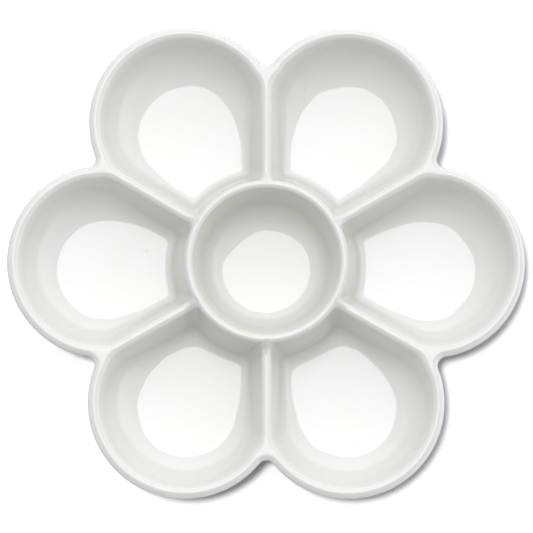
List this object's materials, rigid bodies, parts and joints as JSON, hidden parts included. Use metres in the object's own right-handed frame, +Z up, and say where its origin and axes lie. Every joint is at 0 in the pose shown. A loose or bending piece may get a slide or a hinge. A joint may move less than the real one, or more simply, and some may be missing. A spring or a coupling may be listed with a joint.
{
  "type": "mixing palette",
  "caption": "Flower-shaped glazed porcelain paint palette with petal wells around a raised round centre well, for holding and mixing colours.",
  "frame": {"origin": "centre of the resting plane, under the middle of the centre well", "axes": "+Z up out of the wells; +X along the middle of one petal well, the palette's widest direction; +Y across, through a ridge between two petals"},
  "size_m": [0.172, 0.1576, 0.025],
  "materials": {
    "glazed_porcelain": "clear gloss glaze over white porcelain, matt bare clay on the foot ring"
  },
  "bodies": {
    "root": {"palette_body": "glazed_porcelain"}
  },
  "joints": []
}
